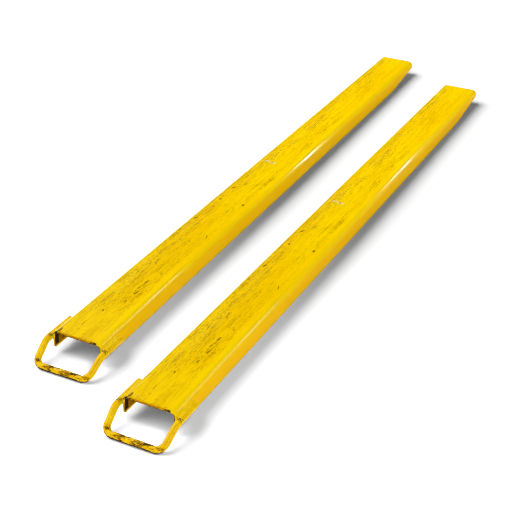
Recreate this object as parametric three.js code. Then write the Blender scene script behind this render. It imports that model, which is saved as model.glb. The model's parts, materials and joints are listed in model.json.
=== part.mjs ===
// A pair of slip-on pallet fork extensions, lying on the floor side by side.
// Millimetres. +Z is up, +Y points to the fork tips and +X to the right.
//
// Each extension is drawn level in a frame of its own: its origin is the middle of the
// sleeve's rear edge, on the plane of the flange bottoms. It is then tipped by half a degree,
// so that it rests on the loop's cross bar behind and on the start of the nose in front.
import * as THREE from "three";

// Sleeve: one plate folded to an upside-down channel, a little narrower at the tip.
const LENGTH = 1829;
const REAR_WIDTH = 127;
const TIP_WIDTH = 109;
const HEIGHT = 42;
const PLATE = 6;
const BEND_RADIUS = 14;
const BEND_STEPS = 8;

// Nose: the flange bottoms rise to the tip, and the toe plate closes them underneath.
const NOSE_LENGTH = 160;
const NOSE_RISE = 23;
const TOE_PLATE_START = 12;
const TOE_RECESS = 3.5;

// Fork stop: the cross plate that the fork's point butts against.
const STOP_BEFORE_TIP = 92;
const STOP_PLATE = 8;
const STOP_HEADROOM = 3;

// Retaining loop: one round bar, bent down behind the sleeve and welded to both flanges.
const BAR_RADIUS = 7.5;
const LEG_HEIGHT = 24;
const LEFT_LAP = 78;
const RIGHT_LAP = 62;
const DROOP_START = 15;
const DROOP_REACH = 60;
const DROOP_ANGLE = THREE.MathUtils.degToRad(32.7);
const DROOP_RADIUS = 30;
const CORNER_RADIUS = 21;
const LEG_TOE_IN = 4;
const BAR_SIDES = 16;
const LOOP_STEPS = 84;

// Welds, and the hairline gap that separate pieces keep between them.
const LEG_BEAD_INSET = 4;
const END_BEAD = 5;
const TOE_BEAD = 4;
const STOP_BEAD = 5;
const TIP_BEAD_DEPTH = 4;
const GAP = 0.3;

// The pair: how far apart the two lie, and how far the right one is set back.
const SPACING = 261.5;
const STAGGER = 127.7;

const PAINT = { color: 0xf2bf05, roughness: 0.38, metalness: 0.1 };
const WORN_PAINT = { color: 0xd9a208, roughness: 0.5, metalness: 0.15 };
const WELD_PAINT = { color: 0xe3ae06, roughness: 0.45, metalness: 0.1 };

const halfWidth = (y) => (REAR_WIDTH + ((TIP_WIDTH - REAR_WIDTH) * y) / LENGTH) / 2;
const noseStart = LENGTH - NOSE_LENGTH;
const flangeBottom = (y) => (NOSE_RISE * Math.max(0, y - noseStart)) / NOSE_LENGTH;
const ceiling = HEIGHT - PLATE;
const bendStart = HEIGHT - BEND_RADIUS;

function mesh(name, geometry, material) {
  const piece = new THREE.Mesh(geometry, new THREE.MeshStandardMaterial(material));
  piece.name = name;
  return piece;
}

// A solid through outlines that have the same number of points. Each outline is a list of
// [x, z] at one y, anticlockwise as seen from behind, from the rear one to the front one.
function loft(stations) {
  const count = stations[0].outline.length;
  const position = stations.flatMap(({ y, outline }) => outline.flatMap(([x, z]) => [x, y, z]));
  const index = [];
  for (let s = 0; s + 1 < stations.length; s++) {
    for (let i = 0; i < count; i++) {
      const rear = s * count + i;
      const rearNext = s * count + ((i + 1) % count);
      index.push(rear, rear + count, rearNext + count);
      index.push(rear, rearNext + count, rearNext);
    }
  }
  const flat = (outline) => outline.map(([x, z]) => new THREE.Vector2(x, z));
  const front = (stations.length - 1) * count;
  for (const [a, b, c] of THREE.ShapeUtils.triangulateShape(flat(stations[0].outline), [])) {
    index.push(a, b, c);
  }
  for (const [a, b, c] of THREE.ShapeUtils.triangulateShape(flat(stations.at(-1).outline), [])) {
    index.push(front + a, front + c, front + b);
  }
  const geometry = new THREE.BufferGeometry();
  geometry.setAttribute("position", new THREE.Float32BufferAttribute(position, 3));
  geometry.setIndex(index);
  const faceted = geometry.toNonIndexed();
  faceted.computeVertexNormals();
  return faceted;
}

const mirrored = (outline) => outline.map(([x, z]) => [-x, z]).reverse();
const onSide = (side, outline) => (side > 0 ? outline : mirrored(outline));
const rectangle = (half, low, high) => [
  [-half, low],
  [half, low],
  [half, high],
  [-half, high],
];

// Points of a bend about (x, z), from angle a to angle b.
function bend(x, z, radius, a, b) {
  return Array.from({ length: BEND_STEPS + 1 }, (_, i) => {
    const angle = a + ((b - a) * i) / BEND_STEPS;
    return [x + radius * Math.cos(angle), z + radius * Math.sin(angle)];
  });
}

function sleeveOutline(y) {
  const half = halfWidth(y);
  const low = flangeBottom(y);
  const bendX = half - BEND_RADIUS;
  const inner = BEND_RADIUS - PLATE;
  return [
    [half - PLATE, low],
    [half, low],
    ...bend(bendX, bendStart, BEND_RADIUS, 0, Math.PI / 2),
    ...bend(-bendX, bendStart, BEND_RADIUS, Math.PI / 2, Math.PI),
    [-half, low],
    [-half + PLATE, low],
    ...bend(-bendX, bendStart, inner, Math.PI, Math.PI / 2),
    ...bend(bendX, bendStart, inner, Math.PI / 2, 0),
  ];
}

function sleeve() {
  return loft([0, noseStart, LENGTH].map((y) => ({ y, outline: sleeveOutline(y) })));
}

// The sleeve's side at a height, for the outer or the inner radius: flat, then bending in.
function sideAt(y, z, radius) {
  const over = Math.max(0, z - bendStart);
  return halfWidth(y) - BEND_RADIUS + Math.sqrt(radius ** 2 - over ** 2);
}

// An outline that fits between the sleeve's walls, with corners at the given heights.
function fittedOutline(y, heights) {
  const right = heights.map((z) => [sideAt(y, z, BEND_RADIUS - PLATE) - GAP, z]);
  return [...right, ...mirrored(right)];
}

const toeUnderside = (y) => flangeBottom(y) + TOE_RECESS;
const toeTop = (y) => toeUnderside(y) + PLATE;

function toePlate() {
  const ends = [noseStart + TOE_PLATE_START, LENGTH];
  return loft(ends.map((y) => ({ y, outline: fittedOutline(y, [toeUnderside(y), toeTop(y)]) })));
}

function forkStop() {
  const rear = LENGTH - STOP_BEFORE_TIP;
  const heights = (y) => [toeTop(y) + GAP, bendStart, ceiling - STOP_HEADROOM];
  return loft([rear, rear + STOP_PLATE].map((y) => ({ y, outline: fittedOutline(y, heights(y)) })));
}

// A circular arc from one radius vector to another about a centre.
class FilletArc extends THREE.Curve {
  constructor(centre, from, to) {
    super();
    this.centre = centre;
    this.from = from;
    this.to = to;
  }

  getPoint(t, target = new THREE.Vector3()) {
    const turn = this.from.angleTo(this.to);
    const a = Math.sin((1 - t) * turn) / Math.sin(turn);
    const b = Math.sin(t * turn) / Math.sin(turn);
    return target.copy(this.centre).addScaledVector(this.from, a).addScaledVector(this.to, b);
  }
}

// A path of straight lines through the points, with each inner corner rounded to its radius.
function roundedPath(points, radii) {
  const path = new THREE.CurvePath();
  let from = points[0];
  for (let i = 1; i + 1 < points.length; i++) {
    const back = points[i - 1].clone().sub(points[i]).normalize();
    const ahead = points[i + 1].clone().sub(points[i]).normalize();
    const half = back.angleTo(ahead) / 2;
    const start = points[i].clone().addScaledVector(back, radii[i - 1] / Math.tan(half));
    const end = points[i].clone().addScaledVector(ahead, radii[i - 1] / Math.tan(half));
    const inward = back.clone().add(ahead).normalize();
    const centre = points[i].clone().addScaledVector(inward, radii[i - 1] / Math.sin(half));
    path.add(new THREE.LineCurve3(from, start));
    path.add(new FilletArc(centre, start.clone().sub(centre), end.clone().sub(centre)));
    from = end;
  }
  path.add(new THREE.LineCurve3(from, points.at(-1)));
  return path;
}

const legX = (y) => halfWidth(y) + GAP + BAR_RADIUS;
const crossBar = {
  x: legX(0) - LEG_TOE_IN,
  y: -DROOP_START - DROOP_REACH * Math.cos(DROOP_ANGLE),
  z: LEG_HEIGHT - DROOP_REACH * Math.sin(DROOP_ANGLE),
};

function retainingLoop() {
  const points = [
    new THREE.Vector3(legX(RIGHT_LAP), RIGHT_LAP, LEG_HEIGHT),
    new THREE.Vector3(legX(0), -DROOP_START, LEG_HEIGHT),
    new THREE.Vector3(crossBar.x, crossBar.y, crossBar.z),
    new THREE.Vector3(-crossBar.x, crossBar.y, crossBar.z),
    new THREE.Vector3(-legX(0), -DROOP_START, LEG_HEIGHT),
    new THREE.Vector3(-legX(LEFT_LAP), LEFT_LAP, LEG_HEIGHT),
  ];
  const extrudePath = roundedPath(points, [DROOP_RADIUS, CORNER_RADIUS, CORNER_RADIUS, DROOP_RADIUS]);
  const section = Array.from({ length: BAR_SIDES }, (_, i) => {
    const angle = (2 * Math.PI * i) / BAR_SIDES;
    return new THREE.Vector2(BAR_RADIUS * Math.cos(angle), BAR_RADIUS * Math.sin(angle));
  });
  const settings = { steps: LOOP_STEPS, bevelEnabled: false, extrudePath };
  return new THREE.ExtrudeGeometry(new THREE.Shape(section), settings);
}

// A bead in the groove between a leg and the flange: above the leg (up = 1) or below it (-1).
function legBeadOutline(y, up) {
  const clear = BAR_RADIUS + GAP;
  const onBar = [155, 140, 125, 110].map((degrees) => {
    const angle = THREE.MathUtils.degToRad(degrees);
    return [legX(y) + clear * Math.cos(angle), LEG_HEIGHT + up * clear * Math.sin(angle)];
  });
  const onFlange = [1.1, 0.75, 0.45].map((share) => {
    const z = LEG_HEIGHT + up * clear * share;
    return [sideAt(y, z, BEND_RADIUS) + GAP, z];
  });
  const outline = [...onBar, ...onFlange];
  return up > 0 ? outline : outline.reverse();
}

function legBead(side, lap, up) {
  const ends = [LEG_BEAD_INSET, lap - LEG_BEAD_INSET];
  return loft(ends.map((y) => ({ y, outline: onSide(side, legBeadOutline(y, up)) })));
}

// A wedge in the corner between the flange and a leg's sawn front end.
function endBead(side, lap) {
  const low = LEG_HEIGHT - BAR_RADIUS * 0.8;
  const high = Math.min(LEG_HEIGHT + BAR_RADIUS * 0.8, bendStart);
  const ends = [
    { y: lap + GAP, reach: END_BEAD },
    { y: lap + GAP + END_BEAD, reach: 1 },
  ];
  return loft(
    ends.map(({ y, reach }) => {
      const x = halfWidth(y) + GAP;
      const outline = [
        [x, low],
        [x + reach, low + reach / 3],
        [x + reach, high - reach / 3],
        [x, high],
      ];
      return { y, outline: onSide(side, outline) };
    }),
  );
}

// A fillet in the corner between the toe plate's underside and a flange.
function toeBead(side) {
  const ends = [noseStart + TOE_PLATE_START + TOE_BEAD, LENGTH - TOE_BEAD];
  return loft(
    ends.map((y) => {
      const x = halfWidth(y) - PLATE - GAP;
      const z = toeUnderside(y) - GAP;
      const outline = [
        [x - TOE_BEAD, z],
        [x - TOE_BEAD * 0.4, z - TOE_BEAD * 0.4],
        [x, z - TOE_RECESS * 0.75],
        [x, z],
      ];
      return { y, outline: onSide(side, outline) };
    }),
  );
}

// The seam that joins the toe plate to the top plate across the tip.
function tipBead() {
  const ends = [LENGTH - TIP_BEAD_DEPTH, LENGTH];
  return loft(
    ends.map((y) => {
      const half = halfWidth(y) - BEND_RADIUS;
      return { y, outline: rectangle(half, toeTop(y) + GAP, ceiling - GAP) };
    }),
  );
}

// The fillet along the rear foot of the fork stop, on the toe plate.
function stopBead() {
  const front = LENGTH - STOP_BEFORE_TIP - GAP;
  const ends = [
    { y: front - STOP_BEAD, rise: 1 },
    { y: front, rise: STOP_BEAD },
  ];
  return loft(
    ends.map(({ y, rise }) => {
      const low = toeTop(y) + GAP;
      return { y, outline: rectangle(halfWidth(y) - BEND_RADIUS, low, low + rise) };
    }),
  );
}

function extension(prefix) {
  const group = new THREE.Group();
  group.add(mesh(`${prefix}_sleeve`, sleeve(), PAINT));
  group.add(mesh(`${prefix}_toe_plate`, toePlate(), PAINT));
  group.add(mesh(`${prefix}_fork_stop`, forkStop(), PAINT));
  group.add(mesh(`${prefix}_retaining_loop`, retainingLoop(), WORN_PAINT));
  for (const [leg, side, lap] of [["left_leg", -1, LEFT_LAP], ["right_leg", 1, RIGHT_LAP]]) {
    group.add(mesh(`${prefix}_${leg}_upper_weld`, legBead(side, lap, 1), WELD_PAINT));
    group.add(mesh(`${prefix}_${leg}_lower_weld`, legBead(side, lap, -1), WELD_PAINT));
    group.add(mesh(`${prefix}_${leg}_end_weld`, endBead(side, lap), WELD_PAINT));
  }
  group.add(mesh(`${prefix}_toe_left_weld`, toeBead(-1), WELD_PAINT));
  group.add(mesh(`${prefix}_toe_right_weld`, toeBead(1), WELD_PAINT));
  group.add(mesh(`${prefix}_tip_weld`, tipBead(), WELD_PAINT));
  group.add(mesh(`${prefix}_stop_weld`, stopBead(), WELD_PAINT));
  return group;
}

// The tilt at which the cross bar and the start of the nose both touch the floor.
function restTilt() {
  const run = noseStart - crossBar.y;
  return Math.asin(BAR_RADIUS / Math.hypot(run, crossBar.z)) - Math.atan2(crossBar.z, run);
}

function onFloor(group, x, y) {
  group.rotation.x = -restTilt();
  group.position.set(x, y, noseStart * Math.sin(restTilt()));
  return group;
}

const pair = new THREE.Group();
pair.add(onFloor(extension("left_ext"), -SPACING / 2, 0));
pair.add(onFloor(extension("right_ext"), SPACING / 2, -STAGGER));

// The origin is the middle of the pair on the floor.
pair.updateMatrixWorld(true);
const middle = new THREE.Box3().setFromObject(pair, true).getCenter(new THREE.Vector3());
pair.position.set(-middle.x, -middle.y, 0);

export default pair;
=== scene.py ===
"""A pair of slip-on pallet fork extensions on a pale studio floor. Blender 4.5, metres."""

import json
import math

import bpy
from mathutils import Matrix, Quaternion, Vector, noise


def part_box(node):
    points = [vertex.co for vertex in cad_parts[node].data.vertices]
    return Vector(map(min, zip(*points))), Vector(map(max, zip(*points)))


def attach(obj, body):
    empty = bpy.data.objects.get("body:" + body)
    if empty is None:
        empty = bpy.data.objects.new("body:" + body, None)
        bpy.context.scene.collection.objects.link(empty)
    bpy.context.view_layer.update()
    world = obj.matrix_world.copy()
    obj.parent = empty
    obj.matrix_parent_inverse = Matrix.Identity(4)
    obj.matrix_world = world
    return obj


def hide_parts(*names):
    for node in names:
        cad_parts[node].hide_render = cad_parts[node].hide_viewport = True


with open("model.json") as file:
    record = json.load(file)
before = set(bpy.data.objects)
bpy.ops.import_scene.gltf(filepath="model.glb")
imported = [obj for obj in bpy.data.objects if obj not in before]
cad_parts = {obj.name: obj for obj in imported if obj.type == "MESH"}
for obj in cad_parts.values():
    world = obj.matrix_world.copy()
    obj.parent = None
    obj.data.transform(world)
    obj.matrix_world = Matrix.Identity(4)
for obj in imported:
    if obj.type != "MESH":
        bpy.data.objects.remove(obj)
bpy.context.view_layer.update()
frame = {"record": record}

# Driving dimensions, the same as in the CAD model.
LENGTH = 1.829
REAR_WIDTH = 0.127
TIP_WIDTH = 0.109
HEIGHT = 0.042
PLATE = 0.006
BEND_RADIUS = 0.014
NOSE_LENGTH = 0.160
NOSE_RISE = 0.023
TOE_PLATE_START = 0.012
TOE_RECESS = 0.0035
STOP_BEFORE_TIP = 0.092
STOP_PLATE = 0.008
STOP_HEADROOM = 0.003
BAR_RADIUS = 0.0075
LEG_HEIGHT = 0.024
LEFT_LAP = 0.078
RIGHT_LAP = 0.062
DROOP_START = 0.015
DROOP_REACH = 0.060
DROOP_ANGLE = math.radians(32.7)
DROOP_RADIUS = 0.030
CORNER_RADIUS = 0.021
LEG_TOE_IN = 0.004
GAP = 0.0003

NOSE_START = LENGTH - NOSE_LENGTH
BEND_START = HEIGHT - BEND_RADIUS
CEILING = HEIGHT - PLATE

# Fine shape that only the visual model has.
EDGE_RADIUS = 0.0008
STATION_STEP = 0.008
RIPPLE_PITCH = 0.0032
SIDES = {"left_leg": (-1, LEFT_LAP), "right_leg": (1, RIGHT_LAP)}

# The camera, as the photographer held it.
CAMERA_AIM = Vector((0.0327, -0.2927, 0.030))
CAMERA_AZIMUTH = math.radians(27.69)
CAMERA_ELEVATION = math.radians(30.78)
CAMERA_DISTANCE = 3.063
CAMERA_ROLL = math.radians(-0.28)
CAMERA_LENS = 88.7


def smooth(low, high, value):
    t = min(1.0, max(0.0, (value - low) / (high - low)))
    return t * t * (3 - 2 * t)


def half_width(y):
    return (REAR_WIDTH + (TIP_WIDTH - REAR_WIDTH) * y / LENGTH) / 2


def flange_bottom(y):
    return NOSE_RISE * max(0.0, y - NOSE_START) / NOSE_LENGTH


def toe_underside(y):
    return flange_bottom(y) + TOE_RECESS


def toe_top(y):
    return toe_underside(y) + PLATE


def side_at(y, z, radius):
    """Half the sleeve's width at a height, for its outer or inner bend radius."""
    over = max(0.0, z - BEND_START)
    return half_width(y) - BEND_RADIUS + math.sqrt(radius**2 - over**2)


def leg_x(y):
    return half_width(y) + GAP + BAR_RADIUS


# ---------------------------------------------------------------- the frame


def extension_matrix(prefix):
    """Where an extension's level frame lies in the row frame: origin at its rear, tilted to rest."""
    low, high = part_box(f"{prefix}_sleeve")
    mounts = {m["name"]: m for m in frame["record"]["mounts"]}
    face = mounts[f"{prefix.split('_')[0]}_load_face"]
    tilt = math.asin(face["axis"][1])
    origin = Vector(((low.x + high.x) / 2, low.y, high.z - HEIGHT * math.cos(tilt)))
    return Matrix.Translation(origin) @ Matrix.Rotation(-tilt, 4, "X")


# ---------------------------------------------------------------- mesh building


def loft_mesh(name, rings, closed_ends=True, traits=None):
    """A mesh through rings of points, all of one length. traits names a value for each point."""
    count = len(rings[0])
    points = [p for ring in rings for p in ring]
    faces = []
    for s in range(len(rings) - 1):
        for i in range(count):
            a = s * count + i
            b = s * count + (i + 1) % count
            faces.append((a, a + count, b + count, b))
    if closed_ends:
        last = (len(rings) - 1) * count
        faces.append(tuple(range(count)))
        faces.append(tuple(last + i for i in reversed(range(count))))
    mesh = bpy.data.meshes.new(name)
    mesh.from_pydata(points, [], faces)
    for trait, values in (traits or {}).items():
        layer = mesh.attributes.new(trait, "FLOAT", "POINT")
        layer.data.foreach_set("value", values)
    mesh.polygons.foreach_set("use_smooth", [True] * len(mesh.polygons))
    mesh.set_sharp_from_angle(angle=math.radians(38))
    mesh.update()
    return mesh


def place(mesh, prefix, node, material):
    """Puts a finished mesh in an extension's frame, in the place of a CAD node."""
    piece = bpy.data.objects.new(f"{prefix}_{node}_skin", mesh)
    bpy.context.scene.collection.objects.link(piece)
    piece.matrix_world = extension_matrix(prefix)
    piece.data.materials.append(material)
    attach(piece, prefix.replace("_ext", "_extension"))
    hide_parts(f"{prefix}_{node}")
    # The photo's floor has neutral shadows: the paint throws no yellow light back on it.
    piece.visible_diffuse = False
    object_only.objects.link(piece)
    return piece


def arc(x, z, radius, start, end, steps):
    """Points of an arc in the cross-section, with angles in degrees."""
    turns = [math.radians(start + (end - start) * i / steps) for i in range(steps + 1)]
    return [(x + radius * math.cos(a), z + radius * math.sin(a)) for a in turns]


def between(a, b, steps):
    """Points strictly between two ends."""
    shares = [i / steps for i in range(1, steps)]
    return [(a[0] + (b[0] - a[0]) * s, a[1] + (b[1] - a[1]) * s) for s in shares]


def eased_ends(start, end, radius, step):
    """(y, inset) from end to end, with the last radius at each end rounded over."""
    turns = [math.radians(90 * i / 3) for i in range(4)]
    rear = [(start + radius * (1 - math.cos(a)), radius * (1 - math.sin(a))) for a in turns]
    front = [(start + end - y, inset) for y, inset in reversed(rear)]
    count = max(2, round((end - start - 2 * radius) / step))
    inner = [start + radius + (end - start - 2 * radius) * i / count for i in range(1, count)]
    return rear + [(y, 0.0) for y in inner] + front


# ---------------------------------------------------------------- sleeve


def right_wall(y, inset):
    """The right flange and bend from the middle of the ceiling round to the middle of the top."""
    half = half_width(y)
    low = flange_bottom(y) + inset
    outer = half - inset
    inner = half - PLATE + inset
    centre = half - BEND_RADIUS
    edge = EDGE_RADIUS
    inside = [
        *between((0, CEILING + inset), (centre, CEILING + inset), 8),
        *arc(centre, BEND_START, BEND_RADIUS - PLATE + inset, 90, 0, 10),
        *between((inner, BEND_START), (inner, low + edge), 4),
    ]
    rim = [
        *arc(inner + edge, low + edge, edge, 180, 270, 3),
        *arc(outer - edge, low + edge, edge, 270, 360, 3),
    ]
    outside = [
        *between((outer, low + edge), (outer, BEND_START), 5),
        *arc(centre, BEND_START, BEND_RADIUS - inset, 0, 90, 16),
        *between((centre, HEIGHT - inset), (0, HEIGHT - inset), 10),
    ]
    shades = [1.0] * len(inside) + [0.75] * 4 + [0.3] * 4 + [0.0] * len(outside)
    return inside + rim + outside, shades


def sleeve_ring(y, inset):
    right, shades = right_wall(y, inset)
    top = (0, HEIGHT - inset)
    ceiling = (0, CEILING + inset)
    left = [(-x, z) for x, z in reversed(right)]
    return [*right, top, *left, ceiling], [*shades, 0.0, *reversed(shades), 1.0]


def warp(x, y, z):
    """How a folded and much used plate strays from flat: long waves, and small dents on top."""
    on_top = smooth(BEND_START, HEIGHT, z)
    wave = noise.noise(Vector((x * 9, y * 3.1, 4.2))) * 0.00035
    dents = noise.noise(Vector((x * 45, y * 22, 7.9))) * 0.00016
    sway = noise.noise(Vector((math.copysign(3.0, x), y * 2.6, z * 14))) * 0.0005
    lift = on_top * (wave + dents)
    return Vector((x + (1 - on_top) * sway, y, z + lift))


def sleeve_mesh():
    rings, inside, end_rust = [], [], []
    for y, inset in eased_ends(0, LENGTH, EDGE_RADIUS, STATION_STEP):
        outline, shades = sleeve_ring(y, inset)
        rings.append([warp(x, y, z) for x, z in outline])
        inside += shades
        end_rust += [1.0 - smooth(0.0, 0.0012, y)] * len(outline)
    return loft_mesh("sleeve", rings, traits={"inside": inside, "rear_edge": end_rust})


# ---------------------------------------------------------------- toe plate and fork stop


def plate_ring(y, inset, heights):
    """A ring between the sleeve's walls, with rounded edges at its lowest and highest corner."""
    low, high = heights[0], heights[-1]
    edge = EDGE_RADIUS
    inner_radius = BEND_RADIUS - PLATE

    def wall(z):
        return side_at(y, z, inner_radius) - GAP - inset

    right = [
        *arc(wall(low) - edge, low + edge + inset, edge, 270, 360, 3),
        *[(wall(z), z) for z in heights[1:-1]],
        *arc(wall(high) - edge, high - edge - inset, edge, 0, 90, 3),
    ]
    return right + [(-x, z) for x, z in reversed(right)]


def plate_mesh(name, start, end, heights, step):
    stations = eased_ends(start, end, EDGE_RADIUS, step)
    rings = [[Vector((x, y, z)) for x, z in plate_ring(y, e, heights(y))] for y, e in stations]
    return loft_mesh(name, rings)


def toe_plate_mesh():
    return plate_mesh(
        "toe_plate",
        NOSE_START + TOE_PLATE_START,
        LENGTH,
        lambda y: [toe_underside(y), toe_top(y)],
        0.01,
    )


def fork_stop_mesh():
    rear = LENGTH - STOP_BEFORE_TIP
    return plate_mesh(
        "fork_stop",
        rear,
        rear + STOP_PLATE,
        lambda y: [toe_top(y) + GAP, BEND_START, CEILING - STOP_HEADROOM],
        0.002,
    )


# ---------------------------------------------------------------- retaining loop


def rounded_path(points, radii, step):
    """Points along straight runs and circular corners, about one step apart."""
    path = []
    start = points[0]
    for corner, before, after, radius in zip(points[1:], points, points[2:], radii):
        back = (before - corner).normalized()
        ahead = (after - corner).normalized()
        half = back.angle(ahead) / 2
        enter = corner + back * (radius / math.tan(half))
        leave = corner + ahead * (radius / math.tan(half))
        centre = corner + (back + ahead).normalized() * (radius / math.sin(half))
        runs = max(1, round((enter - start).length / step))
        path += [start.lerp(enter, i / runs) for i in range(runs)]
        turn = math.pi - 2 * half
        runs = max(3, round(turn * radius / step))
        for i in range(runs):
            spoke = (enter - centre).slerp(leave - centre, i / runs).normalized()
            path.append(centre + spoke * radius)
        start = leave
    runs = max(1, round((points[-1] - start).length / step))
    path += [start.lerp(points[-1], i / runs) for i in range(runs + 1)]
    return path


def loop_path():
    bar_x = leg_x(0) - LEG_TOE_IN
    bar_y = -DROOP_START - DROOP_REACH * math.cos(DROOP_ANGLE)
    bar_z = LEG_HEIGHT - DROOP_REACH * math.sin(DROOP_ANGLE)
    points = [
        Vector((leg_x(RIGHT_LAP), RIGHT_LAP, LEG_HEIGHT)),
        Vector((leg_x(0), -DROOP_START, LEG_HEIGHT)),
        Vector((bar_x, bar_y, bar_z)),
        Vector((-bar_x, bar_y, bar_z)),
        Vector((-leg_x(0), -DROOP_START, LEG_HEIGHT)),
        Vector((-leg_x(LEFT_LAP), LEFT_LAP, LEG_HEIGHT)),
    ]
    radii = [DROOP_RADIUS, CORNER_RADIUS, CORNER_RADIUS, DROOP_RADIUS]
    return rounded_path(points, radii, 0.0022)


def loop_mesh():
    path = loop_path()
    sides = 36
    tangents = [(b - a).normalized() for a, b in zip(path, path[1:])]
    tangents.append(tangents[-1])
    across = Vector((0, 0, 1))
    rings, wear = [], []
    last = len(path) - 1
    for k, (point, tangent) in enumerate(zip(path, tangents)):
        across = (across - tangent * across.dot(tangent)).normalized()
        other = across.cross(tangent)
        from_end = min(k, last - k)
        size = BAR_RADIUS - (EDGE_RADIUS if from_end == 0 else 0)
        ring = []
        for i in range(sides):
            turn = 2 * math.pi * i / sides
            spoke = across * math.cos(turn) + other * math.sin(turn)
            rough = noise.noise((point + spoke * BAR_RADIUS) * 160) * 0.00022
            on_bar = smooth(-0.046, -0.062, point.y)
            knocks = noise.noise((point + spoke * BAR_RADIUS) * 75 + Vector((3, 8, 1)))
            dent = -0.0011 * on_bar * smooth(0.28, 0.6, knocks)
            ring.append(point + spoke * (size + rough * (0.3 + on_bar) + dent))
            wear.append(on_bar)
        rings.append(ring)
    rings.insert(1, [p + (q - p) * 0.35 for p, q in zip(rings[0], rings[1])])
    for i in range(sides):
        grown = rings[1][i] - path[0]
        rings[1][i] = path[0] + grown * (BAR_RADIUS / (BAR_RADIUS - EDGE_RADIUS * 0.65))
    wear = wear[:sides] + wear
    return loft_mesh("retaining_loop", rings, traits={"wear": wear})


# ---------------------------------------------------------------- weld beads


def swell(s, seed):
    """How much a hand-laid bead swells at a distance along it: ripples, and uneven feed."""
    phase = (s / RIPPLE_PITCH) % 1.0
    ripple = 1.0 - 0.14 * phase**2
    feed = 1.0 + 0.10 * noise.noise(Vector((s * 130, seed, 0.5)))
    return ripple * feed


def bead_mesh(name, start, end, ring_at, seed):
    """A bead from start to end. ring_at(y) gives its outline and the root that it swells from."""
    count = max(8, round((end - start) / (RIPPLE_PITCH / 5)))
    rings = []
    for k in range(count + 1):
        y = start + (end - start) * k / count
        near_end = min(k, count - k) / count * (end - start)
        taper = 0.35 + 0.65 * math.sqrt(min(1.0, near_end / 0.003))
        outline, root = ring_at(y)
        scale = swell(y - start, seed) * taper
        rings.append(
            [Vector((root[0] + (x - root[0]) * scale, y, root[1] + (z - root[1]) * scale))
             for x, z in outline]
        )
    return loft_mesh(name, rings)


def leg_bead(side, lap, up, seed):
    clear = BAR_RADIUS + GAP

    def ring_at(y):
        on_bar = [
            (leg_x(y) + clear * math.cos(math.radians(d)),
             LEG_HEIGHT + up * clear * math.sin(math.radians(d)))
            for d in (158, 146, 134, 122, 110)
        ]
        high = LEG_HEIGHT + up * clear * 1.12
        on_flange = [
            (side_at(y, z, BEND_RADIUS) + GAP, z)
            for z in (high, LEG_HEIGHT + up * clear * 0.8, LEG_HEIGHT + up * clear * 0.45)
        ]
        bar_end, flange_end = Vector(on_bar[-1]), Vector(on_flange[0])
        bulge = Vector((0.0008, up * 0.0009))
        crown = [bar_end.lerp(flange_end, t) + bulge * math.sin(math.pi * t) for t in (0.25, 0.5, 0.75)]
        outline = [*on_bar, *[tuple(p) for p in crown], *on_flange]
        if up < 0:
            outline.reverse()
        root = (side_at(y, LEG_HEIGHT, BEND_RADIUS) + GAP, LEG_HEIGHT + up * clear * 0.5)
        if side < 0:
            outline = [(-x, z) for x, z in reversed(outline)]
            root = (-root[0], root[1])
        return outline, root

    return bead_mesh("leg_weld", 0.002, lap - 0.002, ring_at, seed)


def fillet_bead(name, start, end, corner_at, run, seed):
    """A bead in a corner: corner_at(y) gives the corner, run the two legs from it."""

    def ring_at(y):
        x, z = corner_at(y)
        across, up = run
        turns = [math.radians(90 * i / 6) for i in range(7)]
        outline = [(x, z)]
        outline += [(x + across * math.cos(a), z + up * math.sin(a)) for a in turns]
        if across * up < 0:
            outline.reverse()
        return outline, (x, z)

    return bead_mesh(name, start, end, ring_at, seed)


def end_bead_mesh(side, lap, seed):
    """The blob in the corner between a flange and a leg's sawn front end."""
    rings = []
    steps = 12
    for k in range(steps + 1):
        share = k / steps
        y = lap + GAP + 0.0052 * share
        reach = 0.0006 + 0.0046 * math.sqrt(max(0.0, 1 - share**2))
        height = 0.0045 * math.sqrt(max(0.05, 1 - share**2)) + 0.0008
        x = half_width(y) + GAP
        turns = [math.radians(-90 + 180 * i / 10) for i in range(11)]
        lumps = [1 + 0.12 * noise.noise(Vector((a * 1.7, y * 300, seed))) for a in turns]
        ring = [
            Vector((side * (x + reach * math.cos(a) * n), y, LEG_HEIGHT - 0.0005 + height * math.sin(a) * n))
            for a, n in zip(turns, lumps)
        ]
        rings.append(ring if side > 0 else list(reversed(ring)))
    return loft_mesh("end_weld", rings)


# ---------------------------------------------------------------- shader graph


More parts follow.
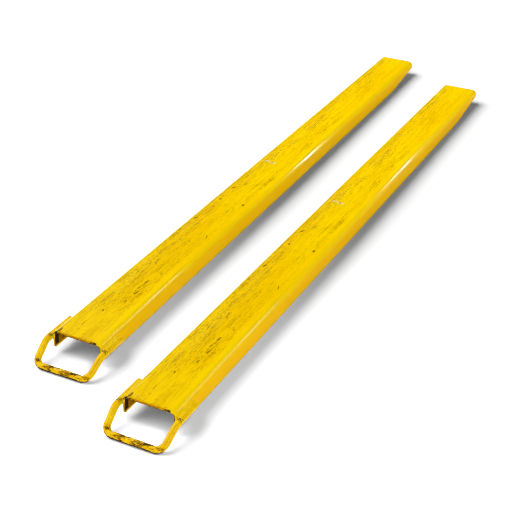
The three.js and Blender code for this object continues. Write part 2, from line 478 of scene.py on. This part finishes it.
class Graph:
    """A material's node tree, with short calls for the nodes used here."""

    def __init__(self, name):
        self.material = bpy.data.materials.new(name)
        self.material.use_nodes = True
        self.tree = self.material.node_tree
        self.shader = self.tree.nodes["Principled BSDF"]
        self.where = self.add("ShaderNodeTexCoord").outputs["Object"]
        split = self.add("ShaderNodeSeparateXYZ", Vector=self.where)
        self.x, self.y, self.z = split.outputs

    def add(self, kind, settings=None, **inputs):
        node = self.tree.nodes.new(kind)
        for key, value in (settings or {}).items():
            setattr(node, key, value)
        for key, value in inputs.items():
            self.plug(node.inputs[key.replace("_", " ")], value)
        return node

    def plug(self, socket, value):
        if isinstance(value, bpy.types.NodeSocket):
            self.tree.links.new(value, socket)
        else:
            socket.default_value = value

    def math(self, operation, *values, clamp=False):
        node = self.add("ShaderNodeMath", {"operation": operation, "use_clamp": clamp})
        for socket, value in zip(node.inputs, values):
            self.plug(socket, value)
        return node.outputs[0]

    def times(self, *values):
        product = values[0]
        for value in values[1:]:
            product = self.math("MULTIPLY", product, value)
        return product

    def most(self, *values):
        most = values[0]
        for value in values[1:]:
            most = self.math("MAXIMUM", most, value)
        return most

    def ramp(self, value, low, high, out_low=0.0, out_high=1.0):
        settings = {"interpolation_type": "SMOOTHSTEP", "clamp": True}
        node = self.add("ShaderNodeMapRange", settings, Value=value)
        for name, number in zip(("From Min", "From Max", "To Min", "To Max"), (low, high, out_low, out_high)):
            node.inputs[name].default_value = number
        return node.outputs[0]

    def stretch(self, scale, turn=0.0, shift=(0, 0, 0)):
        """The object's coordinates turned about Z by an angle in degrees, then scaled."""
        turned = self.add(
            "ShaderNodeMapping", Vector=self.where, Rotation=(0, 0, math.radians(turn)), Location=shift
        )
        return self.add("ShaderNodeMapping", Vector=turned.outputs[0], Scale=scale).outputs[0]

    def noise(self, vector, scale=1.0, detail=3.0, roughness=0.55, distortion=0.0):
        node = self.add("ShaderNodeTexNoise", Vector=vector, Scale=scale, Detail=detail,
                        Roughness=roughness, Distortion=distortion)
        return node.outputs["Fac"]

    def trait(self, name):
        return self.add("ShaderNodeAttribute", {"attribute_name": name}).outputs["Fac"]

    def blend(self, share, under, over):
        node = self.add("ShaderNodeMix", {"data_type": "RGBA"})
        self.plug(node.inputs["Factor"], share)
        self.plug(node.inputs[6], under)
        self.plug(node.inputs[7], over)
        return node.outputs[2]

    def mark(self, x, y, length, width, turn):
        """A soft-edged oval on the top plate: 1 in its middle, 0 outside. Millimetres and degrees."""
        oval = self.add(
            "ShaderNodeMapping",
            {"vector_type": "TEXTURE"},
            Vector=self.where,
            Location=(x / 1000, y / 1000, HEIGHT),
            Rotation=(0, 0, math.radians(turn)),
            Scale=(width / 2000, length / 2000, 0.02),
        )
        radius = self.add("ShaderNodeVectorMath", {"operation": "LENGTH"}, Vector=oval.outputs[0])
        return self.ramp(radius.outputs["Value"], 1.0, 0.35)

    def finish(self, colour, roughness, height, bump):
        self.plug(self.shader.inputs["Base Color"], colour)
        self.plug(self.shader.inputs["Roughness"], roughness)
        node = self.add("ShaderNodeBump", Strength=bump, Distance=0.001, Height=height)
        self.plug(self.shader.inputs["Normal"], node.outputs["Normal"])
        return self.material


def rgb(red, green, blue):
    return (red, green, blue, 1.0)


YELLOW = rgb(0.95, 0.645, 0.0)
BRIGHT = rgb(0.98, 0.66, 0.0)
DEEP_YELLOW = rgb(0.87, 0.51, 0.0)
SHADED_AMBER = rgb(0.88, 0.485, 0.0)
SCUFF = rgb(0.43, 0.195, 0.0)
GREY_SCUFF = rgb(0.52, 0.34, 0.05)
SCRATCH = rgb(0.19, 0.075, 0.0)
DARK = rgb(0.03, 0.02, 0.008)
RUST = rgb(0.55, 0.23, 0.0)
BROWN = rgb(0.20, 0.078, 0.0)
PALE = rgb(0.80, 0.72, 0.42)

# Marks on the top plate: x, y, length, width, turn (mm and degrees).
DARK_MARKS = [
    (-10, 117, 13, 6, 20),
    (13, 173, 12, 6, -10),
    (16, 212, 34, 5, -8),
    (11, 243, 30, 6, -10),
    (12, 266, 26, 6, -4),
    (21, 316, 24, 4, 20),
    (-42, 587, 18, 6, -16),
    (-36, 705, 12, 6, 0),
    (-36, 777, 22, 6, -24),
    (32, 701, 14, 9, 15),
    (-50, 10, 22, 10, 0),
    (31, 513, 28, 4, 22),
    (-14, 958, 12, 8, 40),
]
SCUFF_MARKS = [
    (-41, 268, 110, 22, 0),
    (-20, 330, 120, 22, 0),
    (-41, 540, 150, 24, 0),
    (-24, 560, 90, 20, 0),
    (-38, 644, 130, 24, 4),
    (-30, 985, 130, 34, -6),
    (-14, 1090, 130, 38, 8),
    (-36, 400, 140, 16, 0),
    (24, 1090, 110, 26, 0),
    (30, 850, 150, 18, 0),
]
PALE_MARKS = [(-33, 960, 13, 34, 14), (-12, 957, 11, 30, 4)]


def sleeve_paint():
    g = Graph("sleeve_paint")
    top = g.ramp(g.z, 0.0400, 0.0415)
    inside = g.trait("inside")
    across = g.math("DIVIDE", g.x, g.math("MULTIPLY_ADD", g.y, -0.0049, 0.0635))

    # Yellow enamel, a little uneven in depth, with painted light along the bends and painted shade on the flanges.
    tone = g.noise(g.stretch((16, 3, 16)), detail=4)
    colour = g.blend(g.times(g.ramp(tone, 0.38, 0.70), 0.6), YELLOW, DEEP_YELLOW)
    # A lighter yellow band along the bends is painted light: it brightens them as if more light fell there.
    bend_light_band = g.times(g.ramp(g.z, 0.0420, 0.0413), g.ramp(g.z, 0.033, 0.037))
    colour = g.blend(bend_light_band, colour, BRIGHT)
    # The flanges blend to a deeper amber: painted shade for the sides, which get less light than the top.
    colour = g.blend(g.ramp(g.z, 0.0375, 0.030), colour, SHADED_AMBER)

    # Where loads have rubbed: mostly the left half, hardly at all beside the right bend.
    worn_side = g.ramp(across, 0.78, 0.50, 0.16, 1.0)
    left_side = g.ramp(across, 0.1, -0.6)
    rear_band = g.ramp(g.y, 0.020, 0.075, 0.35, 1.0)
    tip_band = g.ramp(g.y, 1.25, 1.55, 1.0, 0.45)
    patch = g.noise(g.stretch((15, 4.0, 10)), detail=5, roughness=0.62)
    rubbed = g.times(g.ramp(patch, 0.36, 0.66), rear_band, tip_band)
    listed = g.most(*[g.mark(*m) for m in SCUFF_MARKS])
    rubbed = g.most(g.times(rubbed, g.ramp(left_side, 0, 1, 0.55, 1.0)), listed)

    # Scuffs are streaks along the sleeve and a few degrees to either side of it.
    broad = g.noise(g.stretch((100, 9, 60), turn=2), detail=4, roughness=0.65)
    along = g.noise(g.stretch((210, 13, 60)), detail=4, roughness=0.7)
    slanted = g.noise(g.stretch((220, 26, 60), turn=9), detail=4, roughness=0.7)
    crossed = g.noise(g.stretch((220, 40, 60), turn=-18), detail=4, roughness=0.7)
    grain = g.noise(g.stretch((230, 120, 60)), detail=4, roughness=0.75)
    streaks = g.most(
        g.ramp(along, 0.48, 0.57),
        g.times(g.ramp(slanted, 0.53, 0.61), 0.7),
        g.times(g.ramp(crossed, 0.57, 0.64), 0.6),
    )
    scuffed = g.times(streaks, g.ramp(grain, 0.40, 0.56, 0.2, 1.0), top)
    scuffed = g.times(scuffed, g.ramp(rubbed, 0.0, 0.8, 0.42, 1.0), worn_side)
    dusty = g.times(rubbed, left_side, top, g.ramp(grain, 0.42, 0.60), 0.42)
    colour = g.blend(g.times(g.ramp(broad, 0.45, 0.65), top, worn_side, 0.14), colour, SCUFF)
    colour = g.blend(dusty, colour, GREY_SCUFF)
    colour = g.blend(g.times(scuffed, 0.58), colour, SCUFF)

    # Fine dark scratches, and the deeper marks that show bare, dirty steel.
    hairs = g.ramp(g.noise(g.stretch((240, 12, 60), turn=-3), detail=3), 0.59, 0.66)
    slips = g.ramp(g.noise(g.stretch((240, 20, 60), turn=10, shift=(3, 1, 0)), detail=3), 0.61, 0.69)
    hairs = g.times(g.most(hairs, g.times(slips, 0.6)), top, g.ramp(grain, 0.44, 0.58), worn_side)
    scratches = g.times(hairs, g.ramp(rubbed, 0.0, 0.6, 0.45, 1.0))
    colour = g.blend(g.times(scratches, 0.62), colour, SCRATCH)
    chips = g.noise(g.stretch((170, 75, 60)), detail=6, roughness=0.75)
    specks = g.times(g.ramp(chips, 0.66, 0.72), top, worn_side)
    marks = g.most(*[g.mark(*m) for m in DARK_MARKS])
    marks = g.times(g.ramp(marks, 0.02, 0.5), g.ramp(chips, 0.38, 0.52), top)
    gouges = g.most(g.times(marks, 0.85), g.times(specks, 0.6))
    colour = g.blend(gouges, colour, SCRATCH)
    pale = g.times(g.most(*[g.mark(*m) for m in PALE_MARKS]), g.ramp(slanted, 0.42, 0.6), top)
    colour = g.blend(g.times(pale, 0.65), colour, PALE)

    # The rear rim: knocked back to rust on top, with dark bruises near the bends.
    rear = g.trait("rear_edge")
    rim_noise = g.noise(g.stretch((120, 120, 120)), detail=4, roughness=0.65)
    crown = g.times(rear, g.ramp(g.z, 0.030, 0.035))
    bend_bruise = g.ramp(g.math("ABSOLUTE", g.math("ADD", g.x, 0.005)), 0.034, 0.044)
    colour = g.blend(g.times(crown, g.ramp(rim_noise, 0.25, 0.5), g.ramp(across, 0.80, 0.70)), colour, RUST)
    bruises = g.math("ADD", rim_noise, g.times(bend_bruise, 0.16))
    colour = g.blend(g.times(crown, g.ramp(bruises, 0.58, 0.68), g.ramp(across, 0.84, 0.74)), colour, DARK)
    lip = g.times(g.ramp(inside, 0.28, 0.8), rear)
    corner = g.times(g.ramp(g.y, 0.010, 0.002), g.ramp(across, -0.66, -0.80), g.ramp(rim_noise, 0.46, 0.55))
    colour = g.blend(g.times(corner, g.ramp(g.z, 0.036, 0.041), 0.5), colour, DARK)
    colour = g.blend(g.times(lip, 0.8), colour, BROWN)

    # Inside, the colour is brown, and nearly black in a band just inside the rear mouth.
    inside_noise = g.noise(g.stretch((45, 14, 60)), detail=5, roughness=0.65)
    murk = g.blend(g.ramp(inside_noise, 0.42, 0.70), BROWN, rgb(0.48, 0.22, 0.0))
    mouth = g.times(g.ramp(g.y, 0.014, 0.009), g.ramp(inside_noise, 0.20, 0.42))
    murk = g.blend(mouth, murk, DARK)
    colour = g.blend(g.times(g.ramp(inside, 0.8, 1.0)), colour, murk)

    dull = g.most(scuffed, g.times(rubbed, top, 0.5), gouges)
    rough = g.math("MAXIMUM", g.ramp(dull, 0, 1, 0.27, 0.60), g.times(inside, 0.75))
    peel = g.noise(g.stretch((420, 420, 420)), detail=2)
    height = g.math("SUBTRACT", g.times(peel, 0.05), g.times(g.most(scratches, gouges), 0.5))
    height = g.math("SUBTRACT", height, g.times(scuffed, 0.16))
    # Unscuffed enamel along the bends is glossy.
    gloss = g.times(g.ramp(g.z, 0.033, 0.037), g.ramp(g.z, 0.04195, 0.0417), g.ramp(rear, 0.4, 0.0))
    g.plug(g.shader.inputs["Coat Weight"], gloss)
    g.shader.inputs["Coat Roughness"].default_value = 0.08
    g.shader.inputs["Specular IOR Level"].default_value = 0.01
    return g.finish(colour, rough, height, 0.35)


def loop_paint():
    g = Graph("loop_paint")
    wear = g.trait("wear")
    blotch = g.noise(g.stretch((55, 130, 130)), detail=6, roughness=0.75)
    fine = g.noise(g.stretch((300, 300, 300)), detail=4, roughness=0.7)
    tone = g.noise(g.stretch((40, 40, 40)), detail=3)
    colour = g.blend(g.ramp(tone, 0.3, 0.6, 0.35, 1.0), YELLOW, DEEP_YELLOW)
    
    # The cross bar drags on floors: its lower half is worn most, above all at the left corner.
    under = g.ramp(g.z, -0.006, -0.0125)
    left = g.ramp(g.x, 0.01, -0.06, 0.0, 0.04)
    middle = g.ramp(g.math("ABSOLUTE", g.math("SUBTRACT", g.x, 0.022)), 0.030, 0.008, 0.0, 0.10)
    level = g.math("ADD", blotch, g.times(g.most(left, middle), wear))
    level = g.math("ADD", level, g.times(under, wear, 0.23))
    level = g.math("SUBTRACT", level, 0.01)
    dull = g.times(g.ramp(level, 0.52, 0.57), wear)
    bare = g.times(g.ramp(level, 0.59, 0.63), wear)
    colour = g.blend(g.times(dull, 0.8), colour, rgb(0.33, 0.125, 0.0))
    colour = g.blend(g.times(bare, 0.95), colour, rgb(0.030, 0.022, 0.010))

    # Rub marks all along, and grime where the legs leave the welds.
    rubs = g.times(g.ramp(fine, 0.56, 0.66), g.ramp(blotch, 0.44, 0.56))
    colour = g.blend(g.times(rubs, 0.55), colour, SCRATCH)
    nicks = g.ramp(g.noise(g.stretch((190, 190, 190)), detail=3), 0.66, 0.72)
    colour = g.blend(g.times(nicks, 0.8), colour, DARK)
    heel = g.ramp(g.math("ABSOLUTE", g.math("ADD", g.y, 0.003)), 0.008, 0.002)
    heel = g.times(heel, g.ramp(fine, 0.40, 0.52), g.ramp(g.z, 0.026, 0.029))
    colour = g.blend(g.times(heel, 0.7), colour, DARK)
    rough = g.ramp(g.most(dull, rubs), 0, 1, 0.30, 0.6)
    height = g.math("SUBTRACT", g.times(fine, 0.12), g.times(g.most(dull, rubs, nicks), 0.45))
    g.plug(g.shader.inputs["Coat Weight"], g.ramp(g.most(dull, rubs), 0, 1, 0.15, 0.0))
    g.shader.inputs["Coat Roughness"].default_value = 0.15
    g.shader.inputs["Specular IOR Level"].default_value = 0.02
    return g.finish(colour, rough, height, 0.5)


def weld_paint():
    g = Graph("weld_paint")
    fine = g.noise(g.stretch((380, 380, 380)), detail=4, roughness=0.7)
    blotch = g.noise(g.stretch((120, 120, 120)), detail=4)
    colour = g.blend(g.times(g.ramp(blotch, 0.40, 0.65), 0.5), BRIGHT, YELLOW)
    heel = g.times(g.ramp(g.y, 0.006, 0.001), g.ramp(blotch, 0.44, 0.56))
    dirt = g.most(g.times(g.ramp(fine, 0.64, 0.74), 0.4), g.times(heel, 0.8))
    colour = g.blend(dirt, colour, SCRATCH)
    rough = g.ramp(fine, 0.3, 0.7, 0.32, 0.5)
    g.shader.inputs["Coat Weight"].default_value = 0.6
    g.shader.inputs["Coat Roughness"].default_value = 0.2
    g.shader.inputs["Specular IOR Level"].default_value = 0.02
    return g.finish(colour, rough, fine, 0.08)


def plate_paint():
    """The toe plate and fork stop, under the nose: yellow with scrapes from floors and forks."""
    g = Graph("plate_paint")
    along = g.noise(g.stretch((260, 14, 90)), detail=4, roughness=0.65)
    blotch = g.noise(g.stretch((42, 20, 42)), detail=5, roughness=0.65)
    colour = g.blend(g.ramp(blotch, 0.35, 0.65), YELLOW, DEEP_YELLOW)
    scraped = g.times(g.ramp(along, 0.50, 0.64), g.ramp(blotch, 0.40, 0.62))
    colour = g.blend(g.times(scraped, 0.75), colour, SCUFF)
    bare = g.times(g.ramp(along, 0.62, 0.70), g.ramp(blotch, 0.50, 0.66))
    colour = g.blend(bare, colour, BROWN)
    rough = g.ramp(scraped, 0, 1, 0.36, 0.62)
    height = g.math("SUBTRACT", g.times(blotch, 0.05), g.times(scraped, 0.3))
    g.shader.inputs["Specular IOR Level"].default_value = 0.05
    return g.finish(colour, rough, height, 0.4)


def floor_paint():
    g = Graph("studio_floor")
    tone = g.noise(g.stretch((1.5, 1.5, 1.5)), detail=2)
    colour = g.blend(tone, rgb(0.975, 0.975, 0.97), rgb(0.985, 0.985, 0.98))
    g.shader.inputs["Specular IOR Level"].default_value = 0.0
    return g.finish(colour, 1.0, tone, 0.0)


# ---------------------------------------------------------------- assembly


def build_extension(prefix, meshes, paints):
    for node, (mesh, paint, slot) in meshes.items():
        place(mesh, prefix, node, paints[paint])


def extension_meshes():
    meshes = {
        "sleeve": (sleeve_mesh(), "sleeve", "sleeve_paint"),
        "toe_plate": (toe_plate_mesh(), "plate", "sleeve_paint"),
        "fork_stop": (fork_stop_mesh(), "plate", "sleeve_paint"),
        "retaining_loop": (loop_mesh(), "loop", "loop_paint"),
    }
    seed = 1.5
    for leg, (side, lap) in SIDES.items():
        for word, up in (("upper", 1), ("lower", -1)):
            meshes[f"{leg}_{word}_weld"] = (leg_bead(side, lap, up, seed), "weld", "weld_paint")
            seed += 1
        meshes[f"{leg}_end_weld"] = (end_bead_mesh(side, lap, seed), "weld", "weld_paint")
        seed += 1
    for word, side in (("left", -1), ("right", 1)):
        bead = fillet_bead(
            "toe_weld",
            NOSE_START + TOE_PLATE_START + 0.003,
            LENGTH - 0.003,
            lambda y, side=side: (side * (half_width(y) - PLATE - GAP), toe_underside(y) - GAP),
            (-side * 0.0038, -0.0030),
            seed,
        )
        meshes[f"toe_{word}_weld"] = (bead, "weld", "weld_paint")
        seed += 1
    meshes["tip_weld"] = (tip_bead_mesh(seed), "weld", "weld_paint")
    meshes["stop_weld"] = (stop_bead_mesh(seed + 1), "weld", "weld_paint")
    return meshes


def cross_bead(name, half, ring_at, seed):
    """A bead that runs across the sleeve. ring_at(scale) gives its (y, z) outline."""
    count = round(2 * half / (RIPPLE_PITCH / 5))
    rings = []
    for k in range(count + 1):
        x = -half + 2 * half * k / count
        near_end = min(k, count - k) / count * 2 * half
        taper = 0.4 + 0.6 * math.sqrt(min(1.0, near_end / 0.003))
        scale = swell(x + half, seed) * taper
        rings.append([Vector((x, y, z)) for y, z in ring_at(scale)])
    return loft_mesh(name, rings)


def tip_bead_mesh(seed):
    """Fills the slot between the toe plate and the top plate, with its crown just inside the tip."""
    low, high = toe_top(LENGTH) + GAP, CEILING - GAP
    mid = (low + high) / 2

    def ring_at(scale):
        crown = LENGTH - 0.0016 + 0.0014 * scale
        root = LENGTH - 0.0045
        return [(root, low), (root, high), (crown - 0.0012, high), (crown - 0.0003, mid + 0.0009),
                (crown, mid), (crown - 0.0003, mid - 0.0009), (crown - 0.0012, low)]

    return cross_bead("tip_weld", half_width(LENGTH) - BEND_RADIUS, ring_at, seed)


def stop_bead_mesh(seed):
    """The fillet along the rear foot of the fork stop."""
    foot_y = LENGTH - STOP_BEFORE_TIP - GAP
    foot_z = toe_top(foot_y) + GAP
    reach = 0.0046

    def ring_at(scale):
        turns = [math.radians(90 - 15 * i) for i in range(7)]
        return [(foot_y, foot_z - 0.0001)] + [
            (foot_y - reach * scale * math.sin(a), foot_z + reach * scale * math.cos(a)) for a in turns
        ]

    return cross_bead("stop_weld", half_width(foot_y) - BEND_RADIUS, ring_at, seed)


# The receivers of the lights that aren't for everything.
floor_only = bpy.data.collections.new("floor_only")
object_only = bpy.data.collections.new("object_only")


def studio():
    floor_mesh = bpy.data.meshes.new("floor")
    size = 30.0
    floor_mesh.from_pydata([(-size, -size, 0), (size, -size, 0), (size, size, 0), (-size, size, 0)], [], [(0, 1, 2, 3)])
    floor = bpy.data.objects.new("floor", floor_mesh)
    bpy.context.scene.collection.objects.link(floor)
    floor.data.materials.append(floor_paint())

    # White wherever the camera sees it, and otherwise nearly dark, so that shadows stay deep.
    world = bpy.data.worlds.new("studio")
    world.use_nodes = True
    bpy.context.scene.world = world
    background = world.node_tree.nodes["Background"]
    background.inputs["Color"].default_value = rgb(1.0, 1.0, 1.0)
    rays = world.node_tree.nodes.new("ShaderNodeLightPath")
    level = world.node_tree.nodes.new("ShaderNodeMath")
    level.operation = "ADD"
    level.inputs[1].default_value = 0.015
    world.node_tree.links.new(rays.outputs["Is Camera Ray"], level.inputs[0])
    world.node_tree.links.new(level.outputs[0], background.inputs["Strength"])

    # Product shots are lit in layers: some lights are for the floor, some for the object.
    floor_only.objects.link(floor)
    broad_light("key", azimuth=-78, elevation=47, spread=54, strength=2.6)
    broad_light("floor_key", azimuth=-78, elevation=47, spread=54, strength=1.4, group=floor_only)
    broad_light("low_fill", azimuth=74, elevation=11, spread=22, strength=0.6)
    broad_light("side_fill", azimuth=80, elevation=42, spread=25, strength=0.98, group=object_only)
    pool_light("rear_floor", (1.5, -0.90, 1.9), (0.1, -0.90, 0.0), 38, 90.0, floor_only)
    soft_box("rear_fill", (1.2, -1.9, 1.0), (0.2, -0.8, 0.05), (0.7, 0.7), 2.0)
    soft_box("tip_key", (-1.9, 1.0, 1.9), (0.0, 0.6, 0.05), (1.2, 1.2), 18.0)
    soft_box("tip_fill", (1.4, 0.8, 0.9), (0.1, 0.6, 0.03), (0.7, 0.7), 2.2, object_only)
    soft_box("near_strip", (2.4, 3.3, 2.9), (0.2, -0.6, 0.05), (0.03, 1.0), 8.0, object_only)
    soft_box("far_strip", (1.37, 3.24, 1.5), (0.15, 0.3, 0.05), (0.03, 0.22), 9.0, object_only)


def toward(azimuth, elevation):
    """A direction as seen from the object: azimuth 0 is the camera's side (-Y), 90 is +X."""
    a, e = math.radians(azimuth), math.radians(elevation)
    return Vector((math.sin(a) * math.cos(e), -math.cos(a) * math.cos(e), math.sin(e)))


def add_light(name, kind, direction, location, strength, group):
    light = bpy.data.lights.new(name, kind)
    light.energy = strength
    lamp = bpy.data.objects.new(name, light)
    bpy.context.scene.collection.objects.link(lamp)
    lamp.location = location
    lamp.rotation_euler = direction.to_track_quat("Z", "Y").to_euler()
    if group:
        lamp.light_linking.receiver_collection = group
        lamp.light_linking.blocker_collection = object_only
    return light


def broad_light(name, azimuth, elevation, spread, strength, group=None):
    """A big far softbox: an even light from a wide disc of sky."""
    direction = toward(azimuth, elevation)
    light = add_light(name, "SUN", direction, direction * 6, strength, group)
    light.angle = math.radians(spread)


def pool_light(name, location, aim, width, strength, group=None):
    """A spot with a soft edge: a round pool of light."""
    direction = (Vector(location) - Vector(aim)).normalized()
    light = add_light(name, "SPOT", direction, location, strength, group)
    light.spot_size = math.radians(width)
    light.spot_blend = 0.7
    light.shadow_soft_size = 0.35


def soft_box(name, location, aim, size, strength, group=None):
    direction = (Vector(location) - Vector(aim)).normalized()
    light = add_light(name, "AREA", direction, location, strength, group)
    light.shape = "RECTANGLE"
    light.size, light.size_y = size


def camera():
    data = bpy.data.cameras.new("camera")
    data.lens = CAMERA_LENS
    data.sensor_width = 36.0
    data.clip_end = 100.0
    view = bpy.data.objects.new("camera", data)
    bpy.context.scene.collection.objects.link(view)
    level = math.cos(CAMERA_ELEVATION)
    offset = Vector(
        (math.sin(CAMERA_AZIMUTH) * level, -math.cos(CAMERA_AZIMUTH) * level, math.sin(CAMERA_ELEVATION))
    )
    view.location = CAMERA_AIM + offset * CAMERA_DISTANCE
    view.rotation_mode = "QUATERNION"
    view.rotation_quaternion = (-offset).to_track_quat("-Z", "Y") @ Quaternion((0, 0, 1), CAMERA_ROLL)
    bpy.context.scene.camera = view


camera()
studio()
bpy.context.scene.view_settings.view_transform = "Standard"
bpy.context.scene.cycles.filter_width = 0.9
paints = {"sleeve": sleeve_paint(), "loop": loop_paint(), "weld": weld_paint(), "plate": plate_paint()}
for prefix in ("left_ext", "right_ext"):
    build_extension(prefix, extension_meshes(), paints)
